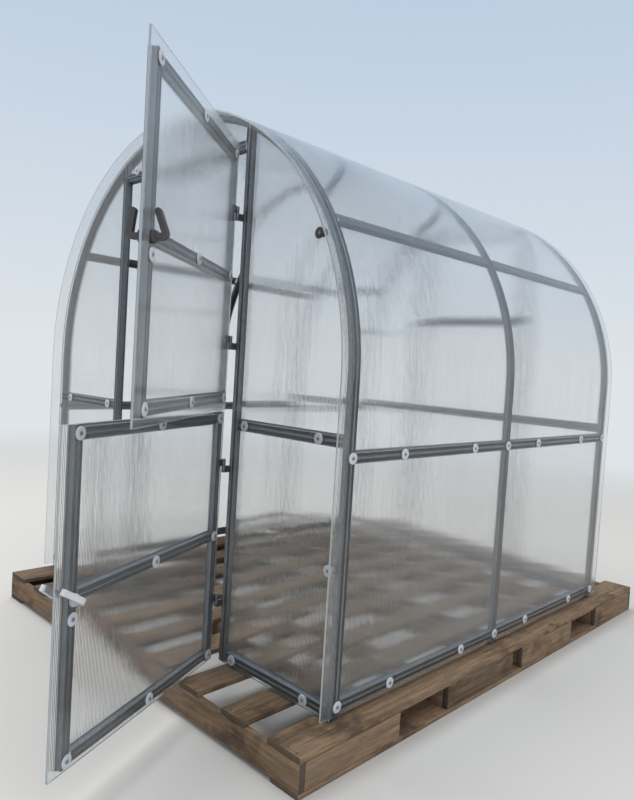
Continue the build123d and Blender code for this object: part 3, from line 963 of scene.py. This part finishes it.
def timber_material(name, along):
    """Weathered pallet timber; along is the axis of its fibres, X or Y."""
    material, add, link = new_material(name)
    place = add("ShaderNodeTexCoord")
    mapping = add("ShaderNodeMapping", {"Rotation": (0, 0, math.pi / 2 if along == "Y" else 0)})
    link(place.outputs["Object"], mapping.inputs["Vector"])
    board = add("ShaderNodeAttribute", attribute_name="board")
    figure = add("ShaderNodeGroup", node_tree=timber_figure)
    link(mapping.outputs["Vector"], figure.inputs["Vector"])
    link(board.outputs["Fac"], figure.inputs["Board"])

    fresh = blend(add, link, ranged(add, link, figure.outputs["Figure"], 0.32, 0.68),
                  late_wood, early_wood)
    weather = figure.outputs["Weather"]
    grey = blend(add, link, ranged(add, link, weather, 0.38, 0.62, 0.08, 0.62), fresh, grey_wood)
    stained = blend(add, link, ranged(add, link, weather, 0.36, 0.46, 0.75, 0.0), grey, wet_stain)
    knotty = blend(add, link, figure.outputs["Knot"], stained, knot_colour)
    facing = add("ShaderNodeSeparateXYZ")
    link(place.outputs["Normal"], facing.inputs[0])
    endwise = reckon(add, link, "ABSOLUTE", facing.outputs[along])
    ended = blend(add, link, ranged(add, link, endwise, 0.7, 0.9), knotty, end_grain)
    strength = reckon(add, link, "MULTIPLY",
                      ranged(add, link, figure.outputs["Fibre"], 0.3, 0.7, 0.60, 1.22),
                      ranged(add, link, board.outputs["Fac"], 0.0, 1.0, 0.66, 1.22))
    final = add("ShaderNodeVectorMath", operation="SCALE")
    link(ended, final.inputs[0])
    link(strength, final.inputs["Scale"])
    bump = add("ShaderNodeBump", {"Strength": 0.6, "Distance": 0.0012})
    link(reckon(add, link, "MULTIPLY_ADD", figure.outputs["Figure"], 0.5, figure.outputs["Fibre"]),
         bump.inputs["Height"])
    surface = add("ShaderNodeBsdfPrincipled", {"Roughness": 0.82, "Specular IOR Level": 0.25})
    link(final.outputs[0], surface.inputs["Base Color"])
    link(bump.outputs[0], surface.inputs["Normal"])
    show(add, link, surface)
    return material


timber_along = timber_material("timber_along", "Y")
timber_across = timber_material("timber_across", "X")
print("timber", timber_along.name, timber_across.name)

# %% Boards
board_step = 0.13
edge_wear = 0.0022
bend_size = 0.0016
slow_waves, fine_waves = 2.3, 17.0
slow_shift, fine_shift = 71, 37
fine_share = 0.4
sharp_angle = 0.5
board_seed = 41
dice = random.Random(board_seed)
noise.seed_set(board_seed)


def board_mesh(low, high, axis, number):
    """One sawn board in its box, with worn edges, a slight inward bend and its own number."""
    bm = bmesh.new()
    add_box(bm, low, high)
    length = high[axis] - low[axis]
    long_edges = [edge for edge in bm.edges
                  if abs(edge.verts[0].co[axis] - edge.verts[1].co[axis]) > 0.9 * length]
    bmesh.ops.subdivide_edges(bm, edges=long_edges, cuts=max(2, int(length / board_step)),
                              use_grid_fill=True)
    sharp = [edge for edge in bm.edges if edge.calc_face_angle(0) > sharp_angle]
    bmesh.ops.bevel(bm, geom=sharp, offset=edge_wear, segments=2, profile=0.5, affect="EDGES",
                    clamp_overlap=True, material=-1)
    middle = (low + high) / 2
    for vert in bm.verts:
        slow = noise.noise_vector(vert.co * slow_waves + Vector((number * slow_shift, 0, 0)))
        fine = noise.noise_vector(vert.co * fine_waves + Vector((0, number * fine_shift, 0)))
        move = bend_size * slow + fine_share * bend_size * fine
        for i in range(3):
            vert.co[i] -= math.copysign(move[i], vert.co[i] - middle[i])
    layer = bm.faces.layers.float.new("board")
    for face in bm.faces:
        face[layer] = number
    return as_mesh("board_shape", bm)


def boards(node, axis, material):
    """Sawn boards in the place of a node's plain ones."""
    bm = bmesh.new()
    bm.faces.layers.float.new("board")
    spans = sorted((span(points) for points in islands(node)), key=lambda s: tuple(s[0]))
    for low, high in spans:
        bm.from_mesh(board_mesh(low, high, axis, dice.random()))
    obj = piece(node + "_sawn", bm, nodes[node]["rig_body"], material, smooth=45)
    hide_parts(node)
    return spans


deck = boards("pallet_deck_boards", 1, timber_along)
bearers = boards("pallet_bearers", 0, timber_across)
boards("pallet_side_planks", 1, timber_along)
boards("pallet_runners", 1, timber_along)

# %% Nails
nail_steel = steel_material("nail_steel", (0.045, 0.036, 0.032), 0.6, metal=0.3, spangle=500.0)
nail_inset = 0.028
nail_drop = 0.0008
nail_scatter_x, nail_scatter_y = 0.006, 0.004
wide_board = 0.13
bm = bmesh.new()
bmesh.ops.create_cone(bm, cap_ends=True, segments=10, radius1=0.0046, radius2=0.0040, depth=0.0014)
nail_mesh = as_mesh("nail_shape", bm)
places = []
for low, high in deck:
    for bearer_low, bearer_high in bearers:
        y = (bearer_low.y + bearer_high.y) / 2
        inner = [(low.x + high.x) / 2] if high.x - low.x > wide_board else []
        for x in [low.x + nail_inset, *inner, high.x - nail_inset]:
            spot = Vector((x + dice.uniform(-nail_scatter_x, nail_scatter_x),
                           y + dice.uniform(-nail_scatter_y, nail_scatter_y),
                           high.z - nail_drop))
            places.append(Matrix.Translation(spot))
bm = bmesh.new()
add_copies(bm, nail_mesh, places)
piece("deck_nails", bm, nodes["pallet_deck_boards"]["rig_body"], nail_steel)
